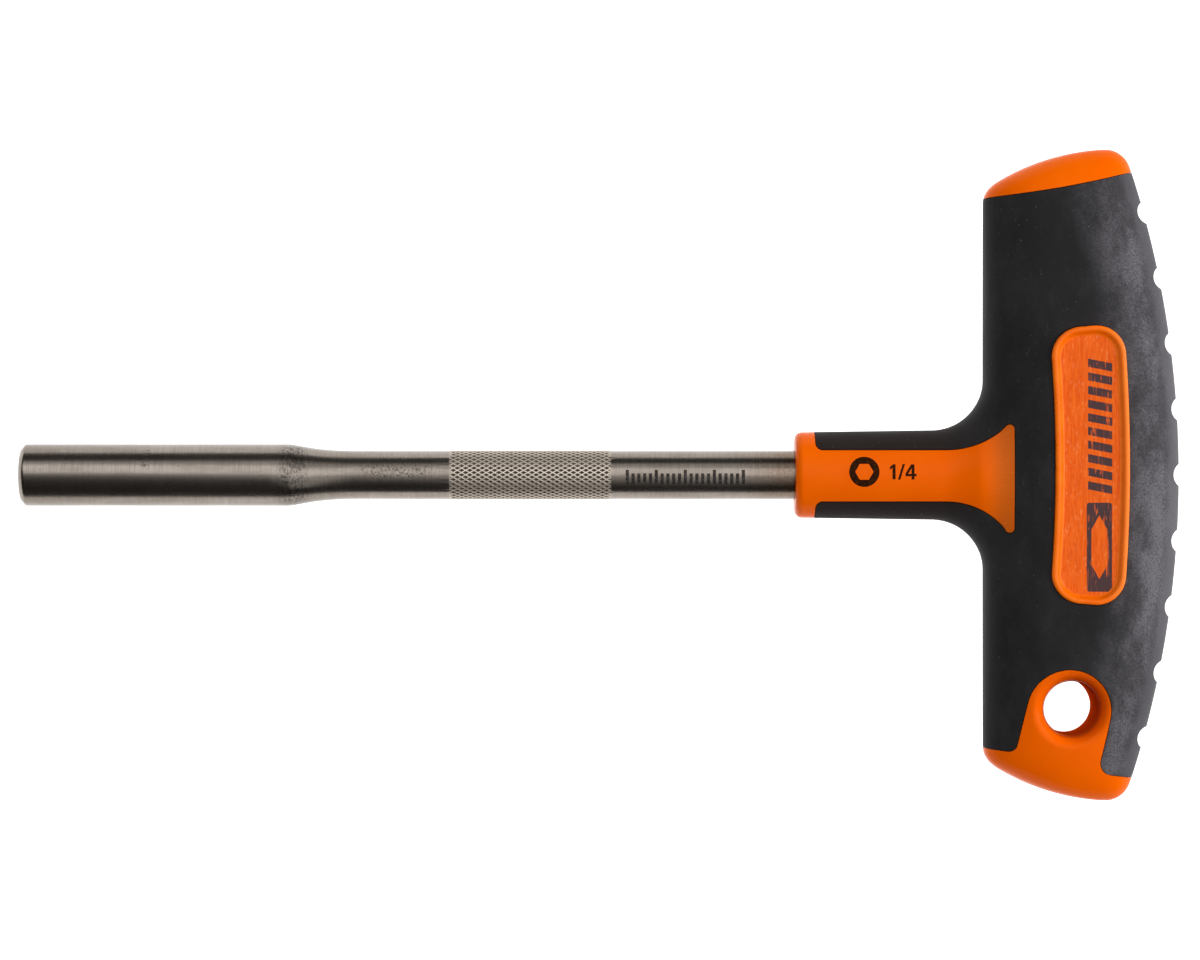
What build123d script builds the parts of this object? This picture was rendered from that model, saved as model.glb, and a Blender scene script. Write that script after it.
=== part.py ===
from build123d import *
import os
from math import cos, pi, sin, sqrt, tau

# T-handle driver for hex bits.
# Origin: centre of the bit socket's mouth. +X runs along the blade towards the handle,
# +Y along the crossbar, away from the hang hole, and +Z is up from the front face.
# All sizes are in millimetres.

# Blade
BLADE_LENGTH = 150.0        # socket mouth to the handle's nose
BARREL_R = 6.0
BARREL_LENGTH = 52.0
TAPER_LENGTH = 13.0
SHAFT_R = 4.7
MOUTH_CHAMFER = 0.9
KNURL_START = 83.1
KNURL_LENGTH = 31.3
KNURL_RISE = 0.05           # how far the rolled band stands above the shaft
HEX_FLATS = 6.45            # clearance socket for a 6.35 mm (1/4 in) hex bit
HEX_DEPTH = 13.0
LEAD_IN_R = 4.0
LEAD_IN_DEPTH = 0.8
MAGNET_R = 2.9
MAGNET_LENGTH = 5.0
RING_X = 3.6                # retaining ring's place behind the mouth
RING_WIRE_R = 0.4
RING_INNER_R = 3.05
RING_GAP_ANGLE = 50.0
GROOVE_R = 4.15
TANG_END = 211.0
WING_START = 191.5
WING_LENGTH = 14.0
WING_SPAN = 16.0
WING_THICKNESS = 3.2

# Crossbar, seen from the front
INNER_X = 186.6             # finger side
PALM_CREST_X = 224.4
PALM_R = 195.0
END_R = 44.0
END_CENTRE = (212.0, 19.2)
FINGER_CORNER = (189.1, 54.05)
FINGER_CORNER_R = 2.4
PALM_CORNER = (210.26, 58.17)
PALM_CORNER_R = 5.0
BAR_END_Y = END_CENTRE[1] + END_R

# Crossbar, seen along its length
MID_HALF_THICKNESS = 13.0
LEVEL_Y = 12.0              # the faces stay level up to here
THICKNESS_DROP = 5.5        # loss of half thickness at DROP_Y
DROP_Y = 60.0
ROUND_OFF_Y = 49.0          # where the ends start to round off
FULLNESS = 2.4              # exponent of the superelliptic section

# Neck
NOSE_R = 8.3
NECK_R = 8.7
NECK_END_X = 178.0
FLARE_R = 10.0
FLARE_BEND = 9.5            # run over which the flare's side follows its radius
FLARE_LENGTH = 17.0         # the flare runs on inside the crossbar
FLARE_STEPS = 7
FLARE_LIFT = 2.8            # rise of the flare into the front and back faces
FLARE_LIFT_START = 4.0
NOSE_EDGE_R = 1.2

# Layers of the handle
SKIN = 3.0                  # soft cover and hard trim on the crossbar
NECK_SKIN = 2.0
NOSE_WALL = 2.0

# Badges: a level rim that stands proud of the bowed faces, round a level floor
RIM_HEIGHT = 13.3
FLOOR_HEIGHT = 12.4
RIM_EDGE_R = 0.35

# Trim outlines on the front and back faces
COLLAR_LENGTH = 3.8
COLLAR_CORNER_R = 1.3       # inner corners between collar and strip
STRIP_HALF_WIDTH = 5.0
FAN_START_X = 178.9
FAN_END_X = 191.7
FAN_R = 15.0
FAN_CORNER_R = 0.9
BADGE_CENTRE = (206.3, 1.85)
BADGE_LENGTH = 53.3
BADGE_WIDTH = 14.3
BADGE_BEND_R = 300.0
BADGE_CORNER_R = 5.8
RIM_WIDTH = 1.25
LOOP_CENTRE = (202.2, -45.4)
LOOP_R = 8.1
LOOP_TANGENTS = ((194.3, -43.65), (210.15, -46.95))
LOOP_SEAM_LEFT = (192.1, -53.35)
LOOP_SEAM_RIGHT = (208.0, -57.4)
TOP_SEAM = ((180.6, 53.2), (200.0, 55.1), (224.4, 61.6))
HANG_HOLE = (202.9, -44.9)
HANG_HOLE_R = 5.2
HANG_HOLE_WALL = 7.6        # straight stretch between the flared rims
HANG_HOLE_FLARE = (2.8, 6.0)    # how far each rim flares outwards and upwards

# Palm grooves
GROOVE_COUNT = 9
GROOVE_PITCH = 12.7
GROOVE_CUT_R = 2.2
GROOVE_DEPTH = 1.8

DEEP = 40.0                 # more than the handle's thickness


def bar_edges(y, inset):
    """Finger-side and palm-side x of the crossbar at a height y, for an outline moved in by inset."""
    y = abs(y)
    end_rise = max(y - END_CENTRE[1], 0.0)
    end_reach = sqrt(max((END_R - inset) ** 2 - end_rise ** 2, 0.0))
    finger = max(INNER_X + inset, END_CENTRE[0] - end_reach)
    palm = PALM_CREST_X - PALM_R + sqrt((PALM_R - inset) ** 2 - y * y)
    corner_r = FINGER_CORNER_R - inset
    if corner_r > 0 and FINGER_CORNER[1] < y < FINGER_CORNER[1] + 0.8 * corner_r:
        finger = max(finger, FINGER_CORNER[0] - sqrt(corner_r ** 2 - (y - FINGER_CORNER[1]) ** 2))
    corner_r = PALM_CORNER_R - inset
    if corner_r > 0 and y > PALM_CORNER[1]:
        palm = min(palm, PALM_CORNER[0] + sqrt(max(corner_r ** 2 - (y - PALM_CORNER[1]) ** 2, 0.0)))
    else:
        palm = min(palm, END_CENTRE[0] + end_reach)
    return finger, palm


def bar_half_thickness(y, inset):
    """Half the crossbar's thickness at y, rounded off towards its ends."""
    fall = max(abs(y) - LEVEL_Y, 0.0) / (DROP_Y - LEVEL_Y)
    full = MID_HALF_THICKNESS - THICKNESS_DROP * fall ** 2 - inset
    past = max(abs(y) - ROUND_OFF_Y, 0.0) / (BAR_END_Y - inset - ROUND_OFF_Y)
    return full * (1.0 - past ** FULLNESS) ** (1.0 / FULLNESS)


def bar_section(y, inset):
    """Superelliptic section of the crossbar in the plane at y."""
    finger, palm = bar_edges(y, inset)
    half_width = (palm - finger) / 2
    half_thickness = bar_half_thickness(y, inset)
    points = []
    for step in range(20):
        angle = tau * step / 20
        across = abs(cos(angle)) ** (2 / FULLNESS) * (1 if cos(angle) >= 0 else -1)
        up = abs(sin(angle)) ** (2 / FULLNESS) * (1 if sin(angle) >= 0 else -1)
        points.append((finger + half_width * (1 + across), y, half_thickness * up))
    return Face(Wire(Edge.make_spline([Vector(*p) for p in points], periodic=True)))


def bar(inset):
    """Crossbar as one loft along Y."""
    top = BAR_END_Y - inset
    end_steps = [1.0, 0.985, 0.95, 0.88, 0.76, 0.6, 0.4, 0.2]
    half = [ROUND_OFF_Y + (top - 0.15 - ROUND_OFF_Y) * step for step in end_steps]
    half += [44.0, 33.0, 22.0, 11.0]
    stations = [-y for y in half] + [0.0] + half[::-1]
    return loft([bar_section(y, inset) for y in stations])


def neck(inset):
    """Neck and the flare that carries it into the crossbar."""
    body = loft([Plane.YZ.offset(BLADE_LENGTH) * Circle(NOSE_R - inset),
                 Plane.YZ.offset(NECK_END_X) * Circle(NECK_R - inset)])
    sections = []
    for step in range(FLARE_STEPS + 1):
        run = FLARE_LENGTH * step / FLARE_STEPS
        bend = min(run, FLARE_BEND)
        side = NECK_R + FLARE_R - sqrt(FLARE_R ** 2 - bend ** 2) + run - bend
        lift = NECK_R + FLARE_LIFT * (max(run - FLARE_LIFT_START, 0) / (FLARE_LENGTH - FLARE_LIFT_START)) ** 2
        sections.append(Plane.YZ.offset(NECK_END_X + run) * Ellipse(side - inset, lift - inset))
    return body + loft(sections)


def handle_form(bar_inset, neck_inset):
    """The handle's outer form, moved in by the given depths."""
    return bar(bar_inset) + neck(neck_inset)


def column(outline, low, high):
    """A plan outline as a solid between two heights."""
    return Pos(0, 0, low) * extrude(outline, amount=high - low)


def rounded(outline, corners):
    """The outline with a radius at each (x, y, radius) corner."""
    for x, y, radius in corners:
        corner = outline.vertices().sort_by_distance((x, y, 0))[0]
        outline = fillet(corner, radius)
    return outline


def trim_outline():
    """Collar round the nose, and the strip along the neck that spreads into a fan on the crossbar."""
    start = BLADE_LENGTH - 2
    collar_end = BLADE_LENGTH + COLLAR_LENGTH
    rise = FAN_R - sqrt(FAN_R ** 2 - (FAN_END_X - FAN_START_X) ** 2)
    corner = (FAN_END_X, STRIP_HALF_WIDTH + rise)
    bend = (FAN_END_X + FAN_START_X) / 2
    bend_y = STRIP_HALF_WIDTH + FAN_R - sqrt(FAN_R ** 2 - (bend - FAN_START_X) ** 2)
    edges = []
    for side in (1, -1):
        edges.append(Line((start, side * STRIP_HALF_WIDTH), (FAN_START_X, side * STRIP_HALF_WIDTH)))
        edges.append(ThreePointArc((FAN_START_X, side * STRIP_HALF_WIDTH), (bend, side * bend_y),
                                   (corner[0], side * corner[1])))
    edges.append(Line((start, STRIP_HALF_WIDTH), (start, -STRIP_HALF_WIDTH)))
    edges.append(Line(corner, (corner[0], -corner[1])))
    collar = Pos((start + collar_end) / 2, 0) * Rectangle(collar_end - start, 2 * NECK_R + 4)
    outline = make_face(edges) + collar
    corners = [(corner[0], side * corner[1], FAN_CORNER_R) for side in (1, -1)]
    corners += [(collar_end, side * STRIP_HALF_WIDTH, COLLAR_CORNER_R) for side in (1, -1)]
    return rounded(outline, corners)


def badge_outline(inset):
    """Rounded panel bent along the palm's curve."""
    centre_x = BADGE_CENTRE[0] - BADGE_BEND_R
    spread = (BADGE_LENGTH / 2 - inset) / BADGE_BEND_R
    half_width = BADGE_WIDTH / 2 - inset

    def at(radius, angle):
        return (centre_x + radius * cos(angle), BADGE_CENTRE[1] + radius * sin(angle))

    near = BADGE_BEND_R - half_width
    far = BADGE_BEND_R + half_width
    outline = make_face([
        ThreePointArc(at(near, -spread), at(near, 0), at(near, spread)),
        Line(at(near, spread), at(far, spread)),
        ThreePointArc(at(far, spread), at(far, 0), at(far, -spread)),
        Line(at(far, -spread), at(near, -spread)),
    ])
    corners = [(*at(radius, angle), BADGE_CORNER_R - inset) for radius in (near, far)
               for angle in (-spread, spread)]
    return rounded(outline, corners)


def badge_frame(side):
    """Level rim with rounded edges, on the front (side 1) or the rear (side -1)."""
    outline = badge_outline(0) - badge_outline(RIM_WIDTH)
    frame = column(outline, min(side * RIM_HEIGHT, 0), max(side * RIM_HEIGHT, 0))
    level = frame.faces().sort_by(Axis.Z)[-1 if side > 0 else 0]
    return fillet(level.edges(), RIM_EDGE_R)


def badge_panel(side):
    """Level floor inside the rim."""
    return column(badge_outline(RIM_WIDTH), min(side * FLOOR_HEIGHT, 0), max(side * FLOOR_HEIGHT, 0))


def top_cap_outline():
    """Plan region of the closed end cap."""
    left, right, top = INNER_X - 6, PALM_CREST_X, BAR_END_Y + 5
    return make_face([
        ThreePointArc(*TOP_SEAM),
        Line(TOP_SEAM[2], (right, top)),
        Line((right, top), (left, top)),
        Line((left, top), TOP_SEAM[0]),
    ])


def loop_outline():
    """Plan region of the end piece that carries the hang hole."""
    left, right, bottom = INNER_X - 6, PALM_CREST_X, -BAR_END_Y - 5
    shield = make_face(Polyline(
        (left, LOOP_SEAM_LEFT[1] + 1.2), LOOP_SEAM_LEFT, LOOP_TANGENTS[0], LOOP_TANGENTS[1],
        LOOP_SEAM_RIGHT, (right, LOOP_SEAM_RIGHT[1] - 2.6), (right, bottom), (left, bottom), close=True))
    outline = shield + Pos(*LOOP_CENTRE) * Circle(LOOP_R)
    return rounded(outline, [(*LOOP_SEAM_LEFT, 1.6), (*LOOP_SEAM_RIGHT, 2.5)])


def along_x(radius, length):
    """Cylinder along X, centred on the origin."""
    return Rot(0, 90, 0) * Cylinder(radius, length)


def blade():
    """Barrel, taper, shaft and tang in one piece of steel."""
    taper_end = BARREL_LENGTH + TAPER_LENGTH
    outline = [
        Polyline((0, 0), (0, BARREL_R - MOUTH_CHAMFER), (MOUTH_CHAMFER, BARREL_R), (BARREL_LENGTH, BARREL_R)),
        Spline((BARREL_LENGTH, BARREL_R), (BARREL_LENGTH + 0.45 * TAPER_LENGTH, SHAFT_R + 0.42),
               (taper_end, SHAFT_R), tangents=[(1, -0.25), (1, 0)]),
        Line((taper_end, SHAFT_R), (TANG_END - 1, SHAFT_R)),
        Polyline((TANG_END - 1, SHAFT_R), (TANG_END, SHAFT_R - 1), (TANG_END, 0), (0, 0)),
    ]
    body = revolve(make_face(outline), Axis.X)
    body += Pos(WING_START + WING_LENGTH / 2, 0, 0) * Box(WING_LENGTH, WING_SPAN, WING_THICKNESS)
    body += Pos(KNURL_START + KNURL_LENGTH / 2, 0, 0) * along_x(SHAFT_R + KNURL_RISE, KNURL_LENGTH)
    hexagon = Plane.YZ * RegularPolygon(HEX_FLATS / 2, 6, major_radius=False, rotation=0)
    body -= extrude(hexagon, amount=HEX_DEPTH)
    body -= Pos(LEAD_IN_DEPTH / 2, 0, 0) * Rot(0, 90, 0) * Cone(LEAD_IN_R, HEX_FLATS / 2, LEAD_IN_DEPTH)
    body -= bit_magnet()
    body -= Pos(RING_X, 0, 0) * along_x(GROOVE_R, 3 * RING_WIRE_R)
    return body


def bit_magnet():
    """Disc magnet at the bottom of the socket."""
    return Pos(HEX_DEPTH + MAGNET_LENGTH / 2, 0, 0) * along_x(MAGNET_R, MAGNET_LENGTH)


def retaining_ring():
    """Split spring ring in the groove inside the hexagon."""
    radius = RING_INNER_R + RING_WIRE_R
    wire = Plane.XZ * Pos(0, radius) * Circle(RING_WIRE_R)
    ring = revolve(wire, Axis.X, revolution_arc=360 - RING_GAP_ANGLE)
    return Pos(RING_X, 0, 0) * Rot(-RING_GAP_ANGLE / 2, 0, 0) * ring


def nose_sleeve(sleeve):
    """Hard trim round the nose with its outer edge rounded."""
    rim = sleeve.faces().sort_by(Axis.X)[0].edges().sort_by(SortBy.LENGTH)[-1]
    return fillet(rim, NOSE_EDGE_R)


def hang_hole_cutter():
    """Straight hole that flares out towards both faces."""
    out, up = HANG_HOLE_FLARE
    wide = HANG_HOLE_R + out
    rim = HANG_HOLE_WALL / 2 + up
    edges = [Line((0, DEEP), (wide, DEEP)), Line((0, -DEEP), (wide, -DEEP)), Line((0, DEEP), (0, -DEEP)),
             Line((HANG_HOLE_R, HANG_HOLE_WALL / 2), (HANG_HOLE_R, -HANG_HOLE_WALL / 2))]
    for side in (1, -1):
        flare = [(HANG_HOLE_R + out * (1 - cos(angle)), side * (HANG_HOLE_WALL / 2 + up * sin(angle)))
                 for angle in (0, pi / 8, pi / 4, 3 * pi / 8, pi / 2)]
        edges.append(Spline(*flare, tangents=((0, side), (1, 0))))
        edges.append(Line((wide, side * rim), (wide, side * DEEP)))
    return Pos(*HANG_HOLE) * revolve(Plane.XZ * make_face(edges), Axis.Z)


def palm_grooves():
    """Cutters for the round grooves across the palm edge."""
    centre_x = PALM_CREST_X - PALM_R
    radius = PALM_R + GROOVE_CUT_R - GROOVE_DEPTH
    cutters = []
    for index in range(GROOVE_COUNT):
        y = (index - (GROOVE_COUNT - 1) / 2) * GROOVE_PITCH
        x = centre_x + sqrt(radius ** 2 - y * y)
        cutters.append(Pos(x, y, 0) * Cylinder(GROOVE_CUT_R, DEEP))
    return cutters


def nose_block(depth):
    """Block that covers the handle's nose to a given depth."""
    return Pos(BLADE_LENGTH + depth / 2, 0, 0) * Box(depth, DEEP, DEEP)


def build():
    """All sub-parts, by node name."""
    outer = handle_form(0, 0)
    core_form = handle_form(SKIN, NECK_SKIN)
    steel = blade()

    trim_zone = column(trim_outline(), -DEEP / 2, DEEP / 2)
    cap_zone = column(top_cap_outline(), -DEEP / 2, DEEP / 2)
    loop_zone = column(loop_outline(), -DEEP / 2, DEEP / 2)
    badge_zone = column(badge_outline(0), -DEEP / 2, DEEP / 2)
    nose_zone = nose_block(NOSE_WALL)
    core = core_form - nose_zone - cap_zone - loop_zone - steel
    shell = outer - core_form + (outer & nose_zone)

    parts = {
        "blade": steel,
        "bit_magnet": bit_magnet(),
        "retaining_ring": retaining_ring(),
        "handle_core": core,
    }
    parts["nose_sleeve"] = nose_sleeve((shell & trim_zone) - steel)
    parts["top_end_cap"] = outer & cap_zone
    parts["hang_loop_cap"] = (outer & loop_zone) - hang_hole_cutter()
    for face, side in (("front", 1), ("rear", -1)):
        parts[face + "_badge_frame"] = badge_frame(side) - core_form
        parts[face + "_badge_panel"] = badge_panel(side) - core_form
    grip = shell - trim_zone - cap_zone - loop_zone - badge_zone
    for cutter in palm_grooves():
        grip -= cutter
    parts["soft_grip"] = grip
    return parts


os.makedirs("parts", exist_ok=True)
for name, shape in build().items():
    export_step(shape, "parts/" + name + ".step")
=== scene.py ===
"""Looks of the T-handle driver: surfaces, materials, light and camera around the fixed CAD frame.

The sizes below are millimetres in the CAD frame, and the stage is in metres. Every mesh is built
in metres.
"""
import math

import bmesh
import bpy
import numpy as np
from mathutils import Matrix, Vector


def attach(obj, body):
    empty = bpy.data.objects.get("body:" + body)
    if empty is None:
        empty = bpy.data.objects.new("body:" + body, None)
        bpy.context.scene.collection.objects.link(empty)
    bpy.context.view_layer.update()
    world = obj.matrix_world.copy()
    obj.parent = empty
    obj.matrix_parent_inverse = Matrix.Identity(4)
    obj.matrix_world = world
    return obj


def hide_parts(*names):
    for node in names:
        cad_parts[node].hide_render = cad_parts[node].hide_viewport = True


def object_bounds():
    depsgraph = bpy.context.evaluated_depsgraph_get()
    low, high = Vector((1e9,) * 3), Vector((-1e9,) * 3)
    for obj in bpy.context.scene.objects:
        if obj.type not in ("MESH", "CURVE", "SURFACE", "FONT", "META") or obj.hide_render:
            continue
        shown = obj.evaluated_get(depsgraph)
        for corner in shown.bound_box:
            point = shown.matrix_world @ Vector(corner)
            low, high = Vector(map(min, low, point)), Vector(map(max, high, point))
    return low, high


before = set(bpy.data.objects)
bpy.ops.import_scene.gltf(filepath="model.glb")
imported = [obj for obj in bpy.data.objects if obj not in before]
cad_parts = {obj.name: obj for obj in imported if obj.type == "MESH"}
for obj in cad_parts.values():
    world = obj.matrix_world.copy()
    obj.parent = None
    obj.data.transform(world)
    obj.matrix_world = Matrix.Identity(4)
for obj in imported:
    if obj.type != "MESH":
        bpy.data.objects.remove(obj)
cad_low, cad_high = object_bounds()

MM = 0.001

# Blade
BLADE_LENGTH = 150.0
BARREL_R = 6.0
BARREL_LENGTH = 52.0
TAPER_LENGTH = 13.0
TAPER_POWER = 2.1           # how fast the taper falls
SHOULDER_POWER = 6          # how soon it starts to
SHAFT_R = 4.7
MOUTH_CHAMFER = 0.9
HEX_FLATS = 6.45
HEX_DEPTH = 13.0
LEAD_IN_R = 4.0
LEAD_IN_DEPTH = 0.8
MAGNET_R = 2.9
MAGNET_LENGTH = 5.0
RING_X = 3.6
GROOVE_R = 4.15
GROOVE_WIDTH = 1.2
TANG_END = 211.0
WING_START = 191.5
WING_LENGTH = 14.0
WING_SPAN = 16.0
WING_THICKNESS = 3.2

# Knurl: two crossing families of rolled ridges
KNURL_START = 83.1
KNURL_LENGTH = 31.3
KNURL_RISE = 0.05
KNURL_DEPTH = 0.2
KNURL_STARTS = 32
KNURL_LEAD = 1.6
KNURL_STEPS = 8             # mesh steps in one diamond, around and along

# Crossbar
INNER_X = 186.6
PALM_CREST_X = 224.4
PALM_R = 195.0
END_R = 44.0
END_CENTRE = (212.0, 19.2)
PALM_CORNER = (210.26, 58.17)
PALM_CORNER_R = 5.0
CORNER_SOFTNESS = 3.0
BAR_END_Y = END_CENTRE[1] + END_R
MID_HALF_THICKNESS = 13.0
LEVEL_Y = 12.0
THICKNESS_DROP = 5.5
DROP_Y = 60.0
ROUND_OFF_Y = 49.0
FULLNESS = 2.4

# Neck
NOSE_R = 8.3
NECK_R = 8.7
NECK_END_X = 178.0
NECK_ROOT_X = 186.0
FLARE_R = 10.0
NOSE_EDGE_R = 1.3

# Layers
SKIN = 3.0
NECK_SKIN = 2.0
NOSE_WALL = 2.0
CORE_EDGE_R = 0.3
SHAFT_CLEARANCE = 0.05
SEAM_GAP = 0.07

# Trim
COLLAR_LENGTH = 3.8
STRIP_EDGES = (4.8, 5.15)       # above and below the neck's axis
LOBE_CORNER_R = 1.3
FAN_START_X = 178.9
FAN_END_X = 191.7
FAN_R = (16.3, 14.2)
FAN_CORNER_R = 0.9
BADGE_CENTRE = (206.3, 1.85)
BADGE_LENGTH = 53.3
BADGE_WIDTH = 14.3
BADGE_BEND_R = 300.0
BADGE_CORNER_R = 5.8
BADGE_CORNER_STEPS = 14
BADGE_SIDE_STEPS = 72
RIM_HEIGHT = 13.3
FLOOR_HEIGHT = 12.4
BADGE_FOOT = 10.1           # just above the core
RIM_PROFILE = (             # in from the badge's edge, down from the rim's top
    (0.0, 0.42), (0.06, 0.24), (0.2, 0.09), (0.4, 0.015), (0.6, 0.0), (0.8, 0.03),
    (0.97, 0.12), (1.12, 0.27), (1.3, 0.52), (1.5, 0.74), (1.66, 0.85), (1.8, 0.89))
PANEL_GAP = 0.01
PRINT_RISE = 0.02
PRINT_SINK = 0.01
PRINT_LOW = SHAFT_R - 1.2   # under every printed surface of the neck
LOOP_CENTRE = (202.2, -45.4)
LOOP_R = 8.1
LOOP_TANGENTS = ((194.3, -43.65), (210.15, -46.95))
LOOP_SEAM_LEFT = (192.1, -53.35)
LOOP_SEAM_RIGHT = (208.0, -57.4)
LOOP_SEAM_SLOPES = (1.2 / 11.5, 2.6 / 16.4)     # left, right
LOOP_CORNER_R = (1.6, 2.5)
TOP_SEAM = ((180.6, 53.2), (200.0, 55.1), (224.4, 61.6))
HANG_HOLE = (202.9, -44.9)
HANG_HOLE_R = 5.2
HANG_HOLE_FLARE = (2.8, 4.6)    # outwards, upwards
GROOVE_COUNT = 9
GROOVE_PITCH = 12.7
GROOVE_CUT_R = 2.2
GROOVE_DEPTH = 1.8
DEEP = 20.0

# Marks
SIGN_CENTRE = (163.0, 0.6)
SIGN_R = 2.9
SIGN_FLATS = 3.05
SIZE_CENTRE = (170.4, 0.6)
SCALE_START = 117.2
SCALE_END = 139.6
SCALE_PITCH = 1.12
SCALE_LINE = 0.62
SCALE_HEIGHT = 2.8
SCALE_Y = -0.4
SCALE_SHORT = 0.75          # length of the ticks between every fifth one
ETCH_RISE = 0.012
ETCH_FOOT = 0.03
BAR_COUNT = 10
BARS_X = 207.75
BARS_WIDTH = 4.6
BARS_TOP_Y = 22.2
BARS_PITCH = 2.6
BAR_LINE = 1.55
BAR_LEAN = 0.9
BLOCK_CENTRE = (207.6, -13.8)
BLOCK_WIDTH = 4.8
BLOCK_LENGTH = 17.0
BLOCK_CORNER_R = 0.5
WINDOW_SIZE = (0.32, 0.36)  # shares of the block's width and length
WINDOW_SHOULDER = 0.55

# Wear, tint and painted shade: where each starts and ends, and over what width it fades
NICK_X = (23.8, 25.3, 0.5)
NICK_Y = (1.4, 5.2, 0.6)
TAPER_DARK_X = (50.5, 55.5, 1.6)
PITTED_X = (54.0, 80.0, 5.0)
SMEAR_X = (67.0, 79.0, 3.0)
SMEAR_Y = (-0.4, 2.1, 0.8)
FAN_WEAR_SHADE_Y = (-20.0, 20.0, 2.0)
FURROW_SHADE = (3.0, 4.0, 0.7)    # painted shade along a furrow, in from the palm edge

# Floor, light and camera, in metres and watts
FLOOR_Z = cad_low[2] - 0.0002
FLOOR_REACH = 3.0
FLOOR_GLOW = 1.5
WORLD_LEVEL = 0.035
CAMERA = (0.11225, -0.00097, 0.750)
SENSOR_WIDTH = 36.0
LENS = 115.9
LIGHTS = (  # name, place, aim, size, power
    ("overhead_wide", (0.45, 0.1, 1.05), (0.4, 0.08, 0), (2.9, 1.1), 8.2),
    ("overhead_core", (0.45, 0.14, 1.0), (0.4, 0.04, 0), (2.9, 0.58), 6.6),
    ("palm_side", (0.95, 0.12, 0.42), (0.18, 0, 0), (0.7, 0.7), 6.0),
)

FORM_STEP = 0.45            # spacing of the handle's surface mesh
CORE_STEP = 1.2
CELL_CORNERS = [(i, j, k) for i in (0, 1) for j in (0, 1) for k in (0, 1)]


# The handle as a field: negative inside, in millimetres

def round_union(a, b, radius):
    """Union of two fields with a fillet of the given radius."""
    fillet = np.hypot(np.maximum(radius - a, 0), np.maximum(radius - b, 0))
    return np.maximum(radius, np.minimum(a, b)) - fillet


def round_intersection(a, b, radius):
    """Intersection of two fields with a rounded edge."""
    edge = np.hypot(np.maximum(radius + a, 0), np.maximum(radius + b, 0))
    return np.minimum(-radius, np.maximum(a, b)) + edge


def soft_max(a, b, softness):
    """The larger of two values, rounded off where they are within the softness of each other."""
    closeness = np.maximum(softness - np.abs(a - b), 0) / softness
    return np.maximum(a, b) + closeness ** 2 * softness / 4


def bar_edges(y, inset):
    """Finger-side and palm-side x of the crossbar at y."""
    y = np.abs(y)
    end_r = END_R - inset
    end_reach = np.sqrt(np.maximum(end_r ** 2 - np.maximum(y - END_CENTRE[1], 0) ** 2, 0))
    finger = soft_max(INNER_X + inset + 0 * y, END_CENTRE[0] - end_reach, CORNER_SOFTNESS)
    palm = PALM_CREST_X - PALM_R + np.sqrt((PALM_R - inset) ** 2 - y * y)
    palm = np.minimum(palm, END_CENTRE[0] + end_reach)
    corner_r = max(PALM_CORNER_R - inset, 0.2)
    corner_start = PALM_CORNER[1] * (1 + corner_r / (PALM_R - PALM_CORNER_R))
    corner = PALM_CORNER[0] + np.sqrt(np.maximum(corner_r ** 2 - (y - PALM_CORNER[1]) ** 2, 0))
    return finger, np.where(y > corner_start, np.minimum(palm, corner), palm)


def bar_half_thickness(y, inset):
    """Half the crossbar's thickness at y, rounded off towards its ends."""
    y = np.abs(y)
    fall = np.maximum(y - LEVEL_Y, 0) / (DROP_Y - LEVEL_Y)
    full = MID_HALF_THICKNESS - THICKNESS_DROP * fall ** 2 - inset
    past = np.clip((y - ROUND_OFF_Y) / (BAR_END_Y - inset - ROUND_OFF_Y), 0, 1)
    return full * (1 - past ** FULLNESS) ** (1 / FULLNESS)


def bar_field(x, y, z, inset):
    """Crossbar with a section between an ellipse and a rectangle, drawn in by the inset."""
    finger, palm = bar_edges(y, inset)
    half_width = np.maximum((palm - finger) / 2, 1e-3)
    half_thickness = np.maximum(bar_half_thickness(y, inset), 1e-3)
    across = x - (finger + palm) / 2
    reach = np.abs(across / half_width) ** FULLNESS + np.abs(z / half_thickness) ** FULLNESS
    reach = np.maximum(reach ** (1 / FULLNESS), 1e-3)
    return np.hypot(across, z) * (1 - 1 / reach)


def handle_field(x, y, z, bar_inset=0.0, neck_inset=0.0, nose_inset=0.0, edge_r=NOSE_EDGE_R):
    """Neck and crossbar with the flare between them."""
    share = np.clip((x - BLADE_LENGTH) / (NECK_END_X - BLADE_LENGTH), 0, 1)
    side = np.hypot(y, z) - (NOSE_R + (NECK_R - NOSE_R) * share - neck_inset)
    ends = np.maximum(BLADE_LENGTH + nose_inset - x, x - NECK_ROOT_X)
    neck = round_intersection(side, ends, edge_r)
    return round_union(neck, bar_field(x, y, z, bar_inset), FLARE_R)


def loop_field(x, y, z):
    """The form with the hang hole through it, flaring smoothly towards both faces."""
    out, up = HANG_HOLE_FLARE
    finger, palm = bar_edges(y, 0)
    across = np.abs(x - (finger + palm) / 2) / np.maximum((palm - finger) / 2, 1e-3)
    face = bar_half_thickness(y, 0) * (1 - np.minimum(across, 1) ** FULLNESS) ** (1 / FULLNESS)
    hole = (HANG_HOLE_R - np.hypot(x - HANG_HOLE[0], y - HANG_HOLE[1])) * up / out
    return np.maximum(handle_field(x, y, z), round_intersection(np.abs(z) - face, hole, up))


def gradient(field, points, reach=0.02):
    """Slope of the field at each point."""
    slopes = []
    for axis in range(3):
        shift = np.zeros(3)
        shift[axis] = reach
        slopes.append((field(*(points + shift).T) - field(*(points - shift).T)) / (2 * reach))
    return np.stack(slopes, axis=1)


def onto_surface(field, points, rounds=3):
    """Points moved along the slope onto the field's zero surface."""
    for _ in range(rounds):
        slope = gradient(field, points)
        size = np.maximum((slope ** 2).sum(axis=1), 0.05)
        step = field(*points.T) / size
        points = points - np.clip(step, -0.4, 0.4)[:, None] * slope
    return points


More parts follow.
